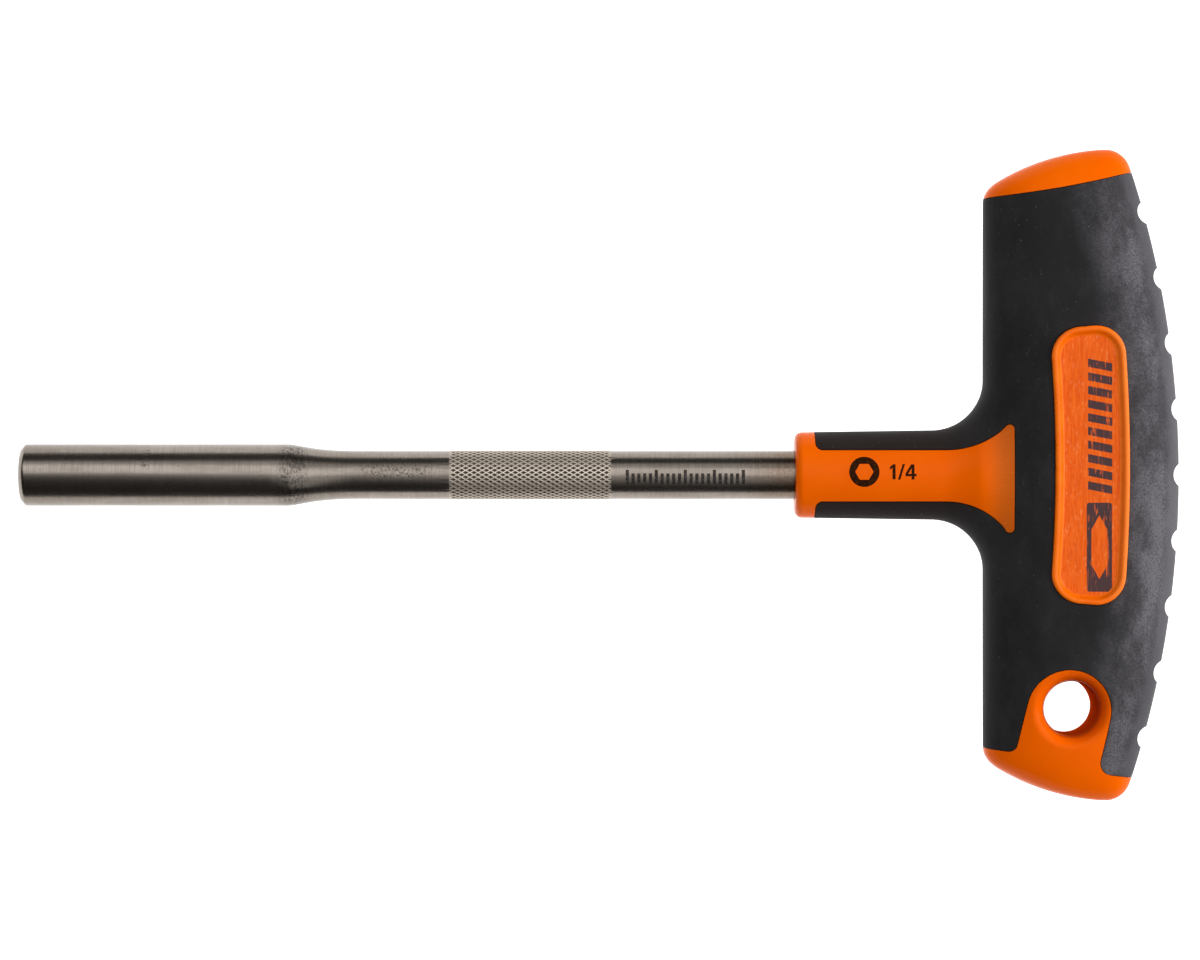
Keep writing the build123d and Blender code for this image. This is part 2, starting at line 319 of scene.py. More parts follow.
def surface_cells(inside):
    """Grid cells that the surface crosses, and a grid with each one's number."""
    shape = np.array(inside.shape) - 1
    count = np.zeros(shape, dtype=np.int8)
    for corner in CELL_CORNERS:
        count += inside[tuple(slice(c, c + n) for c, n in zip(corner, shape))]
    cells = np.argwhere((count > 0) & (count < len(CELL_CORNERS)))
    index = -np.ones(shape, dtype=np.int64)
    index[tuple(cells.T)] = np.arange(len(cells))
    return cells, index


def crossing_centres(values, cells):
    """Mean of the points where the surface cuts each cell's edges, in grid steps."""
    total = np.zeros((len(cells), 3))
    hits = np.zeros(len(cells))
    for start in CELL_CORNERS:
        for axis in range(3):
            if start[axis]:
                continue
            a = values[tuple((cells + start).T)]
            end = np.array(start) + np.eye(3, dtype=int)[axis]
            b = values[tuple((cells + end).T)]
            crossed = (a < 0) != (b < 0)
            share = np.where(crossed, a / np.where(crossed, a - b, 1), 0)
            cut = np.array(start) + share[:, None] * np.eye(3)[axis]
            total += cut * crossed[:, None]
            hits += crossed
    return cells + total / hits[:, None]


def edge_quads(inside, index):
    """One quad round every grid edge that the surface cuts, all facing the same way."""
    shape = index.shape
    quads = []
    for axis in range(3):
        u, v = [other for other in range(3) if other != axis]
        ahead = np.eye(3, dtype=int)[axis]
        edges = np.argwhere(inside[tuple(slice(0, n + 1 - s) for n, s in zip(shape, ahead))]
                            != inside[tuple(slice(s, None) for s in ahead)])
        filled = inside[tuple(edges.T)]
        back_u, back_v = np.eye(3, dtype=int)[u], np.eye(3, dtype=int)[v]
        ring = [edges - back_u - back_v, edges - back_v, edges, edges - back_u]
        quad = np.stack([index[tuple(cell.T)] for cell in ring], axis=1)
        flip = filled != (axis == 1)
        quads.append(np.where(flip[:, None], quad, quad[:, ::-1]))
    return np.concatenate(quads)


def evened(field, points, quads, rounds=4):
    """Points spread evenly by their neighbours and put back on the surface."""
    for _ in range(rounds):
        pull = np.zeros_like(points)
        links = np.zeros(len(points))
        for side in range(4):
            a, b = quads[:, side], quads[:, (side + 1) % 4]
            for near, far in ((a, b), (b, a)):
                for axis in range(3):
                    pull[:, axis] += np.bincount(near, points[far, axis], len(points))
                links += np.bincount(near, minlength=len(points))
        points = onto_surface(field, 0.4 * points + 0.6 * pull / links[:, None], 2)
    return onto_surface(field, points)


def surface_net(field, low, high, step):
    """Closed quad mesh of the field's zero surface, evenly spaced and exactly on it."""
    axes = [np.arange(a - 2 * step, b + 3 * step, step) for a, b in zip(low, high)]
    values = field(*np.meshgrid(*axes, indexing="ij"))
    cells, index = surface_cells(values < 0)
    quads = edge_quads(values < 0, index)
    origin = np.array([axis[0] for axis in axes])
    return evened(field, origin + crossing_centres(values, cells) * step, quads), quads


# Mesh helpers

def new_object(name, points, faces):
    """Mesh object from points in millimetres."""
    mesh = bpy.data.meshes.new(name)
    mesh.from_pydata((np.asarray(points) * MM).tolist(), [], [list(face) for face in faces])
    work = bmesh.new()
    work.from_mesh(mesh)
    bmesh.ops.recalc_face_normals(work, faces=work.faces)
    work.to_mesh(mesh)
    work.free()
    piece = bpy.data.objects.new(name, mesh)
    bpy.context.collection.objects.link(piece)
    return piece


def prisms(name, outlines, low, high):
    """Closed upright solids over plan outlines, in one mesh."""
    points, faces = [], []
    for outline in outlines:
        n, first = len(outline), len(points)
        top = first + n
        points += [(x, y, z) for z in (low, high) for x, y in outline]
        faces += [(first + i, first + (i + 1) % n, top + (i + 1) % n, top + i) for i in range(n)]
        faces += [tuple(range(first, top)), tuple(range(top, top + n))]
    return new_object(name, points, faces)


def turned(name, profile, segments, closed=False):
    """Solid of revolution about the blade's axis. The profile holds (x, radius) pairs and starts and
    ends on the axis, unless it is closed on itself."""
    angles = math.tau * np.arange(segments) / segments
    points, rows = [], []
    for x, radius in profile:
        if radius == 0:
            rows.append([len(points)])
            points.append((x, 0, 0))
        else:
            rows.append(list(range(len(points), len(points) + segments)))
            points += [(x, radius * math.cos(a), radius * math.sin(a)) for a in angles]
    faces = []
    pairs = list(zip(rows, rows[1:])) + ([(rows[-1], rows[0])] if closed else [])
    for near, far in pairs:
        for i in range(segments):
            j = (i + 1) % segments
            if len(near) == 1:
                faces.append((near[0], far[j], far[i]))
            elif len(far) == 1:
                faces.append((near[i], near[j], far[0]))
            else:
                faces.append((near[i], near[j], far[j], far[i]))
    return new_object(name, points, faces)


def combine(piece, other, operation="DIFFERENCE", keep=False):
    """Boolean of piece with other; other is thrown away unless it is kept."""
    boolean = piece.modifiers.new("combine", "BOOLEAN")
    boolean.operation = operation
    boolean.solver = "MANIFOLD"
    boolean.object = other
    graph = bpy.context.evaluated_depsgraph_get()
    graph.update()
    result = bpy.data.meshes.new_from_object(piece.evaluated_get(graph))
    piece.modifiers.clear()
    piece.data = result
    if not keep:
        bpy.data.objects.remove(other)


def copied(piece, name):
    """A separate copy of a piece, with its own mesh."""
    twin = piece.copy()
    twin.data = piece.data.copy()
    twin.name = name
    bpy.context.collection.objects.link(twin)
    return twin


def smooth(piece, angle):
    """Smooth shading that stays sharp at edges over the angle, in degrees."""
    piece.data.polygons.foreach_set("use_smooth", [True] * len(piece.data.polygons))
    piece.data.set_sharp_from_angle(angle=math.radians(angle))


def finish_piece(piece, look, slot, *nodes, angle=32.0):
    """Material, shading, body and the CAD nodes that the piece stands for."""
    piece.data.materials.clear()
    piece.data.materials.append(look)
    smooth(piece, angle)
    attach(piece, "root")
    if nodes:
        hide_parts(*nodes)


# Plan outlines

def arc(centre, radius, start, end, steps):
    """Points on a circle from the start angle to the end angle, in radians."""
    angles = np.linspace(start, end, steps + 1)
    return [(centre[0] + radius * math.cos(a), centre[1] + radius * math.sin(a)) for a in angles]


def rounded(corners, spacing=0.3):
    """Closed outline from (x, y, radius) corners."""
    outline = []
    count = len(corners)
    for i, (x, y, radius) in enumerate(corners):
        if radius == 0:
            outline.append((x, y))
            continue
        here = np.array((x, y))
        before = np.array(corners[i - 1][:2]) - here
        after = np.array(corners[(i + 1) % count][:2]) - here
        before, after = before / np.linalg.norm(before), after / np.linalg.norm(after)
        half = math.acos(np.clip(before @ after, -1, 1)) / 2
        bisector = (before + after) / np.linalg.norm(before + after)
        centre = here + bisector * radius / math.sin(half)
        first = here + before * radius / math.tan(half) - centre
        last = here + after * radius / math.tan(half) - centre
        start = math.atan2(first[1], first[0])
        turn = (math.atan2(last[1], last[0]) - start + math.pi) % math.tau - math.pi
        steps = max(int(abs(turn) * radius / spacing), 6)
        outline += arc(centre, radius, start, start + turn, steps)
    return outline


def grown(outline, distance):
    """Outline moved outwards along its normals."""
    outline = np.asarray(outline, float)
    x, y = outline.T
    if (x * np.roll(y, -1) - np.roll(x, -1) * y).sum() < 0:
        outline = outline[::-1]
    ahead = np.roll(outline, -1, axis=0) - outline
    ahead /= np.maximum(np.linalg.norm(ahead, axis=1), 1e-9)[:, None]
    normals = np.column_stack([ahead[:, 1], -ahead[:, 0]])
    corner = normals + np.roll(normals, 1, axis=0)
    corner /= np.maximum((corner ** 2).sum(axis=1) / 2, 0.3)[:, None]
    return outline + distance * corner


def through(three, steps=24):
    """Arc through three points."""
    (ax, ay), (bx, by), (cx, cy) = three
    a, b, c = (x ** 2 + y ** 2 for x, y in three)
    area = 2 * (ax * (by - cy) + bx * (cy - ay) + cx * (ay - by))
    ux = (a * (by - cy) + b * (cy - ay) + c * (ay - by)) / area
    uy = (a * (cx - bx) + b * (ax - cx) + c * (bx - ax)) / area
    start, end = math.atan2(ay - uy, ax - ux), math.atan2(cy - uy, cx - ux)
    turn = (end - start + math.pi) % math.tau - math.pi
    return arc((ux, uy), math.hypot(ax - ux, ay - uy), start, start + turn, steps)


def trim_outline():
    """Collar, strip and fan in one outline, with rounded inner corners beside the collar."""
    wide = NECK_R + 2
    collar_end = BLADE_LENGTH + COLLAR_LENGTH
    halves = []
    for edge, fan_r in zip(STRIP_EDGES, FAN_R):
        half = [(BLADE_LENGTH - 2, wide, 0), (collar_end, wide, 0), (collar_end, edge, LOBE_CORNER_R)]
        sweep = math.asin((FAN_END_X - FAN_START_X) / fan_r)
        curve = arc((FAN_START_X, edge + fan_r), fan_r, -math.pi / 2, -math.pi / 2 + sweep, 20)
        clear = [point for point in curve if math.dist(point, curve[-1]) > 4 * FAN_CORNER_R]
        halves.append(half + [(x, y, 0) for x, y in clear] + [(*curve[-1], FAN_CORNER_R)])
    upper, lower = halves
    return rounded(upper + [(x, -y, radius) for x, y, radius in reversed(lower)])


def badge_outline(inset):
    """Rounded panel bent along the palm's curve. Points keep their order for every inset."""
    radius = BADGE_CORNER_R - inset
    half_length = BADGE_LENGTH / 2 - BADGE_CORNER_R
    half_width = BADGE_WIDTH / 2 - BADGE_CORNER_R
    flat = []
    for turn, (u, v) in enumerate([(1, 1), (-1, 1), (-1, -1), (1, -1)]):
        corner, start = (u * half_length, v * half_width), turn * math.pi / 2
        flat += arc(corner, radius, start, start + math.pi / 2, BADGE_CORNER_STEPS)
        if turn % 2 == 0:
            runs = np.linspace(u * half_length, -u * half_length, BADGE_SIDE_STEPS)[1:-1]
            flat += [(run, v * (half_width + radius)) for run in runs]
    lengthways, across = np.array(flat).T
    angle = lengthways / BADGE_BEND_R
    centre_x = BADGE_CENTRE[0] - BADGE_BEND_R
    return np.column_stack([centre_x + (BADGE_BEND_R + across) * np.cos(angle),
                            BADGE_CENTRE[1] + (BADGE_BEND_R + across) * np.sin(angle)])


def top_cap_outline():
    """Plan region of the closed end cap."""
    return through(TOP_SEAM) + [(PALM_CREST_X + 4, BAR_END_Y + 5), (INNER_X - 8, BAR_END_Y + 5)]


def loop_outline():
    """Plan region of the end piece that carries the hang hole: a shield with a round top."""
    left, right, bottom = INNER_X - 8, PALM_CREST_X + 4, -BAR_END_Y - 5
    start = math.atan2(LOOP_TANGENTS[1][1] - LOOP_CENTRE[1], LOOP_TANGENTS[1][0] - LOOP_CENTRE[0])
    end = math.atan2(LOOP_TANGENTS[0][1] - LOOP_CENTRE[1], LOOP_TANGENTS[0][0] - LOOP_CENTRE[0])
    round_top = [(x, y, 0) for x, y in arc(LOOP_CENTRE, LOOP_R, start, end, 48)]
    seam_right = LOOP_SEAM_RIGHT[1] - LOOP_SEAM_SLOPES[1] * (right - LOOP_SEAM_RIGHT[0])
    seam_left = LOOP_SEAM_LEFT[1] + LOOP_SEAM_SLOPES[0] * (LOOP_SEAM_LEFT[0] - left)
    corners = [(right, seam_right, 0), (*LOOP_SEAM_RIGHT, LOOP_CORNER_R[1])] + round_top
    corners += [(*LOOP_SEAM_LEFT, LOOP_CORNER_R[0]), (left, seam_left, 0), (left, bottom, 0)]
    return rounded(corners + [(right, bottom, 0)])


# Blade

def knurl_height(x, angle):
    """Rise of the rolled diamonds over the shaft: crests where two helices cross, pits between."""
    turn = KNURL_STARTS * angle / math.tau
    run = (x - KNURL_START) / KNURL_LEAD
    pit = 1.0
    for phase in (turn + run, turn - run):
        pit = np.minimum(pit, 2 * np.abs(phase - np.round(phase)))
    edge = np.minimum(x - KNURL_START, KNURL_START + KNURL_LENGTH - x)
    ragged = 0.12 * np.sin(5 * angle) + 0.08 * np.sin(13 * angle + 1)
    fade = np.clip((edge - 0.1 - ragged * (edge < 1)) / 0.35, 0, 1)
    return fade * (KNURL_RISE - KNURL_DEPTH * pit)


def blade_stations():
    """(x, radius) pairs along the blade, close together where the shape changes."""
    stations = [(0, 0), (0, 2), (0, BARREL_R - MOUTH_CHAMFER - 0.4), (0, BARREL_R - MOUTH_CHAMFER - 0.1)]
    stations += [(0.04, BARREL_R - MOUTH_CHAMFER + 0.02), (MOUTH_CHAMFER - 0.16, BARREL_R - 0.14)]
    stations += [(MOUTH_CHAMFER - 0.02, BARREL_R - 0.04), (MOUTH_CHAMFER + 0.18, BARREL_R)]
    stations += [(x, BARREL_R) for x in np.linspace(MOUTH_CHAMFER + 0.3, BARREL_LENGTH, 14)]
    for share in np.linspace(0, 1, 27)[1:]:
        fall = 1 - (1 - share) ** TAPER_POWER
        fall = fall * (1 - (1 - share) ** SHOULDER_POWER * 0.5)
        stations.append((BARREL_LENGTH + share * TAPER_LENGTH, BARREL_R - (BARREL_R - SHAFT_R) * fall))
    stations += [(x, SHAFT_R) for x in np.linspace(BARREL_LENGTH + TAPER_LENGTH, KNURL_START, 6)[1:]]
    rows = round(KNURL_LENGTH / (KNURL_LEAD / KNURL_STEPS))
    stations += [(KNURL_START + row * KNURL_LEAD / KNURL_STEPS, SHAFT_R) for row in range(1, rows + 2)]
    stations += [(x, SHAFT_R) for x in np.linspace(stations[-1][0] + 1, TANG_END - 1, 14)]
    return stations + [(TANG_END, SHAFT_R - 1), (TANG_END, 2), (TANG_END, 0)]


def roll_knurl(blade):
    """The knurled band's points moved onto the rolled diamonds."""
    points = np.array([v.co for v in blade.data.vertices]) / MM
    x, angle = points[:, 0], np.arctan2(points[:, 2], points[:, 1])
    knurled = (x > KNURL_START) & (x < KNURL_START + KNURL_LENGTH)
    radius = np.where(knurled, SHAFT_R + knurl_height(x, angle), 0)
    points[knurled, 1] = (radius * np.cos(angle))[knurled]
    points[knurled, 2] = (radius * np.sin(angle))[knurled]
    blade.data.vertices.foreach_set("co", (points * MM).ravel())


def add_wings(blade):
    """Two pressed wings that hold the tang in the core."""
    wing_end, reach = WING_START + WING_LENGTH, WING_SPAN / 2
    plan = [(WING_START, -reach), (wing_end, -reach), (wing_end, reach), (WING_START, reach)]
    combine(blade, prisms("wings", [plan], -WING_THICKNESS / 2, WING_THICKNESS / 2), "UNION")


def cut_socket(blade):
    """Hexagon with its lead-in, the magnet's pocket and the ring's groove."""
    corner_r = HEX_FLATS / math.sqrt(3)
    hexagon = [(corner_r * math.cos(a), corner_r * math.sin(a)) for a in np.arange(6) * math.pi / 3]
    points = [(x, y, z) for x in (-1.0, HEX_DEPTH) for y, z in hexagon]
    faces = [tuple(range(6))[::-1], tuple(range(6, 12))]
    faces += [(i, (i + 1) % 6, 6 + (i + 1) % 6, 6 + i) for i in range(6)]
    combine(blade, new_object("hexagon", points, faces))
    widest = LEAD_IN_R + (LEAD_IN_R - HEX_FLATS / 2) / LEAD_IN_DEPTH
    cone = [(-1, 0), (-1, widest), (LEAD_IN_DEPTH, HEX_FLATS / 2), (LEAD_IN_DEPTH, 0)]
    combine(blade, turned("lead_in", cone, 64))
    pocket = [(HEX_DEPTH - 0.5, 0), (HEX_DEPTH - 0.5, MAGNET_R)]
    pocket += [(HEX_DEPTH + MAGNET_LENGTH, MAGNET_R), (HEX_DEPTH + MAGNET_LENGTH, 0)]
    combine(blade, turned("pocket", pocket, 64))
    low, high = RING_X - GROOVE_WIDTH / 2, RING_X + GROOVE_WIDTH / 2
    combine(blade, turned("groove", [(low, 0), (low, GROOVE_R), (high, GROOVE_R), (high, 0)], 64))


def make_blade(look):
    """Barrel, taper, knurled shaft and winged tang, with the bit socket cut in."""
    blade = turned("blade_body", blade_stations(), KNURL_STARTS * KNURL_STEPS)
    roll_knurl(blade)
    add_wings(blade)
    cut_socket(blade)
    finish_piece(blade, look, "blade_steel", "blade", angle=40)


# Handle

def column(outline, gap=0.0):
    """Upright cutter through the whole handle over a plan outline."""
    return prisms("zone", [grown(outline, gap) if gap else outline], -DEEP, DEEP)


def groove_cutters():
    """Round cutters across the palm edge, in one mesh."""
    reach = PALM_R + GROOVE_CUT_R - GROOVE_DEPTH
    outlines = []
    for index in range(GROOVE_COUNT):
        y = (index - (GROOVE_COUNT - 1) / 2) * GROOVE_PITCH
        x = PALM_CREST_X - PALM_R + math.sqrt(reach ** 2 - y * y)
        outlines.append(arc((x, y), GROOVE_CUT_R, 0, math.tau, 64)[:-1])
    return prisms("groove_cutters", outlines, -DEEP, DEEP)


def make_handle(hard, soft, inner):
    """Grip, trim, end pieces and the core under them, cut from one smooth form. The loop end's form
    has the hang hole in it."""
    low = (BLADE_LENGTH, -BAR_END_Y, -MID_HALF_THICKNESS)
    high = (PALM_CREST_X, BAR_END_Y, MID_HALF_THICKNESS)

    def form(name, field):
        points, faces = surface_net(field, low, high, FORM_STEP)
        return new_object(name, np.clip(points, np.array(cad_low) / MM, np.array(cad_high) / MM), faces)

    outer = form("outer_form", handle_field)

    def core_field(x, y, z):
        return handle_field(x, y, z, SKIN, NECK_SKIN, NOSE_WALL, CORE_EDGE_R)

    core = new_object("core_body", *surface_net(core_field, low, high, CORE_STEP))
    trim, cap, loop, badge = trim_outline(), top_cap_outline(), loop_outline(), badge_outline(0)

    top_end = copied(outer, "top_end_shell")
    combine(top_end, column(cap, -SEAM_GAP), "INTERSECT")
    loop_end = form("hang_loop_shell", loop_field)
    combine(loop_end, column(loop, -SEAM_GAP), "INTERSECT")
    sleeve = copied(outer, "nose_sleeve_shell")
    combine(sleeve, column(trim, -SEAM_GAP), "INTERSECT")
    combine(sleeve, core, keep=True)
    start, hole_r = BLADE_LENGTH - 1, SHAFT_R + SHAFT_CLEARANCE
    hole = [(start, 0), (start, hole_r), (PALM_CREST_X, hole_r), (PALM_CREST_X, 0)]
    combine(sleeve, turned("shaft_hole", hole, 128))

    grip = outer
    grip.name = "grip_skin"
    combine(grip, core, keep=True)
    for outline in (trim, cap, loop, badge):
        combine(grip, column(outline, SEAM_GAP))
    combine(grip, groove_cutters())
    for outline in (cap, loop):
        combine(core, column(outline))
    finish_piece(top_end, hard, "hard_orange", "top_end_cap")
    finish_piece(loop_end, hard, "hard_orange", "hang_loop_cap")
    finish_piece(sleeve, hard, "hard_orange", "nose_sleeve")
    finish_piece(grip, soft, "soft_black", "soft_grip")
    finish_piece(core, inner, "core_plastic", "handle_core")
    return sleeve


def make_badge(side, face, bead, panel):
    """Rounded rim and level floor on one face of the crossbar."""
    rows = []
    for inset, drop in RIM_PROFILE:
        outline = badge_outline(inset + SEAM_GAP)
        rows.append(np.column_stack([outline, np.full(len(outline), RIM_HEIGHT - drop)]))
    for edge in (rows[-1], rows[0]):
        foot = edge.copy()
        foot[:, 2] = BADGE_FOOT
        rows.append(foot)
    count = len(rows[0])
    faces = []
    for row in range(len(rows)):
        near, far = row * count, (row + 1) % len(rows) * count
        faces += [(near + i, far + i, far + (i + 1) % count, near + (i + 1) % count)
                  for i in range(count)]
    rim = new_object(face + "_badge_rim", np.vstack(rows) * (1, 1, side), faces)
    finish_piece(rim, bead, "badge_orange", face + "_badge_frame")
    outline = badge_outline(RIM_PROFILE[-1][0] + SEAM_GAP + PANEL_GAP)
    ends = sorted((side * BADGE_FOOT, side * FLOOR_HEIGHT))
    floor = prisms(face + "_badge_floor", [outline], *ends)
    finish_piece(floor, panel, "badge_orange", face + "_badge_panel")


# Marks: thin skins of ink that follow the surface under them

def make_print(name, outlines, body, look, holes=()):
    """Ink on the front of a body, in the shape of the plan outlines less the holes."""
    ink = copied(body, name)
    ink.data.transform(Matrix.Translation((0, 0, PRINT_RISE * MM)))
    combine(ink, prisms("zone", outlines, PRINT_LOW, DEEP), "INTERSECT")
    if holes:
        combine(ink, prisms("zone", holes, 0, DEEP))
    combine(ink, body, keep=True)
    finish_piece(ink, look, "soft_black")


def moved(outline, centre):
    """Outline drawn about the origin, moved to the centre."""
    return [(centre[0] + x, centre[1] + y) for x, y in outline]


def polygon(centre, radius, corners):
    """Regular polygon with its first corner towards +X."""
    return arc(centre, radius, 0, math.tau, corners)[:-1]


def make_size_mark(body, look):
    """Hexagon in a disc, and the drive size beside it."""
    make_print("hexagon_mark", [polygon(SIGN_CENTRE, SIGN_R, 72)], body, look,
               [polygon(SIGN_CENTRE, SIGN_FLATS / math.sqrt(3), 6)])
    one = [(-2.0, -1.45), (-1.42, -1.45), (-1.42, 1.45), (-1.85, 1.45), (-2.5, 0.95), (-2.5, 0.4),
           (-2.0, 0.75)]
    slash = [(-0.95, -1.5), (-0.5, -1.5), (0.4, 1.5), (-0.05, 1.5)]
    four = [(1.65, -1.45), (2.2, -1.45), (2.2, -0.85), (2.6, -0.85), (2.6, -0.38), (2.2, -0.38),
            (2.2, 1.45), (1.6, 1.45), (0.5, -0.3), (0.5, -0.85), (1.65, -0.85)]
    inside = [(1.65, -0.38), (1.65, 0.68), (0.98, -0.38)]
    make_print("size_mark", [moved(shape, SIZE_CENTRE) for shape in (one, slash, four)], body, look,
               [moved(inside, SIZE_CENTRE)])


def make_shaft_scale(look):
    """Plain row of etched ticks on the shaft."""
    start, end, inner, outer = SCALE_START - 1, SCALE_END + 1, SHAFT_R - ETCH_FOOT, SHAFT_R + ETCH_RISE
    tube = [(start, inner), (start, outer), (end, outer), (end, inner)]
    ink = turned("shaft_scale", tube, 256, closed=True)
    ticks = []
    steps = round((SCALE_END - SCALE_START) / SCALE_PITCH)
    for index in range(steps + 1):
        x = SCALE_START + index * SCALE_PITCH
        reach = SCALE_HEIGHT if index % 5 == 0 else SCALE_SHORT * SCALE_HEIGHT
        low = SCALE_Y - SCALE_HEIGHT / 2
        ticks.append([(x, low), (x + SCALE_LINE, low), (x + SCALE_LINE, low + reach), (x, low + reach)])
    combine(ink, prisms("zone", ticks, 0, DEEP), "INTERSECT")
    finish_piece(ink, look, "blade_steel")


def make_badge_print(look):
    """Slanted bars and a hexagon in a block, printed on the front badge's floor."""
    low, high = FLOOR_HEIGHT - PRINT_SINK, FLOOR_HEIGHT + PRINT_RISE
    left, right = BARS_X - BARS_WIDTH / 2, BARS_X + BARS_WIDTH / 2
    bars = []
    for index in range(BAR_COUNT):
        top = BARS_TOP_Y - index * BARS_PITCH
        bars.append([(left, top), (right, top - BAR_LEAN), (right, top - BAR_LEAN - BAR_LINE),
                     (left, top - BAR_LINE)])
    printed = prisms("badge_bars", bars, low, high)
    finish_piece(printed, look, "soft_black")
    x, y = BLOCK_CENTRE
    half_width, half_length = BLOCK_WIDTH / 2, BLOCK_LENGTH / 2
    outline = rounded([(x + u * half_width, y + v * half_length, BLOCK_CORNER_R)
                       for u, v in ((-1, -1), (1, -1), (1, 1), (-1, 1))])
    block = prisms("badge_block", [outline], low, high)
    side, tip = WINDOW_SIZE[0] * BLOCK_WIDTH, WINDOW_SIZE[1] * BLOCK_LENGTH
    shoulder = WINDOW_SHOULDER * tip
    window = [(x - side, y - shoulder), (x, y - tip), (x + side, y - shoulder),
              (x + side, y + shoulder), (x, y + tip), (x - side, y + shoulder)]
    combine(block, prisms("zone", [window], low - 1, high + 1))
    finish_piece(block, look, "soft_black")


# Shader helpers

def material(name):
    """A new node material with its Principled shader."""
    mat = bpy.data.materials.new(name)
    mat.use_nodes = True
    return mat, mat.node_tree.nodes["Principled BSDF"]


def add(mat, kind, inputs=(), **settings):
    """A shader node with its settings; inputs holds (socket, value or output) pairs."""
    node = mat.node_tree.nodes.new(kind)
    for key, value in settings.items():
        setattr(node, key, value)
    for socket, value in inputs:
        if isinstance(value, bpy.types.NodeSocket):
            mat.node_tree.links.new(value, node.inputs[socket])
        else:
            node.inputs[socket].default_value = value
    return node


def link(mat, output, socket):
    """An output joined to a shader socket."""
    mat.node_tree.links.new(output, socket)


def noise(mat, scale, stretch=(1, 1, 1), detail=3.0, rough=0.55, distortion=0.0):
    """Noise over the object's own coordinates, in metres."""
    spot = add(mat, "ShaderNodeTexCoord").outputs["Object"]
    stretched = add(mat, "ShaderNodeMapping", [("Vector", spot), ("Scale", stretch)]).outputs[0]
    return add(mat, "ShaderNodeTexNoise",
               [("Vector", stretched), ("Scale", scale), ("Detail", detail), ("Roughness", rough),
                ("Distortion", distortion)]).outputs["Fac"]


def span(mat, value, low, high, out_low=0.0, out_high=1.0):
    """The value's range low..high mapped smoothly to out_low..out_high."""
    return add(mat, "ShaderNodeMapRange",
               [("Value", value), ("From Min", low), ("From Max", high), ("To Min", out_low),
                ("To Max", out_high)], interpolation_type="SMOOTHSTEP").outputs[0]


def maths(mat, operation, a, b=0.0):
    """Result of one maths node."""
    return add(mat, "ShaderNodeMath", [(0, a), (1, b)], operation=operation).outputs[0]


def along(mat, axis):
    """The object's own coordinate along an axis, in metres."""
    spot = add(mat, "ShaderNodeTexCoord").outputs["Object"]
    return add(mat, "ShaderNodeSeparateXYZ", [(0, spot)]).outputs[axis]


def blend(mat, share, first, second):
    """Colour mixed from first to second by share; each is a colour or an output."""
    node = add(mat, "ShaderNodeMix", data_type="RGBA")
    for socket, value in ((node.inputs[0], share), (node.inputs[6], first), (node.inputs[7], second)):
        if isinstance(value, bpy.types.NodeSocket):
            link(mat, value, socket)
        else:
            socket.default_value = (*value, 1)
    return node.outputs[2]


def blend_value(mat, share, first, second):
    """Number mixed from first to second by share."""
    return add(mat, "ShaderNodeMix", [(0, share), (2, first), (3, second)], data_type="FLOAT").outputs[0]


def bump(mat, height, distance, strength=1.0, normal=None):
    """Normal tilted by the height's slope, over another bump where one is given."""
    node = add(mat, "ShaderNodeBump", [("Height", height), ("Distance", distance), ("Strength", strength)])
    if normal is not None:
        link(mat, normal, node.inputs["Normal"])
    return node.outputs["Normal"]


def zone(mat, value, low, high, soft):
    """1 where the value, in metres, is between low and high, with soft ends; all three in millimetres."""
    rise = span(mat, value, (low - soft) * MM, (low + soft) * MM)
    return maths(mat, "MULTIPLY", rise, span(mat, value, (high - soft) * MM, (high + soft) * MM, 1, 0))


def length(mat, a, b):
    """Length of the step whose two parts are a and b."""
    return maths(mat, "SQRT", maths(mat, "ADD", maths(mat, "POWER", a, 2), maths(mat, "POWER", b, 2)))


# Materials

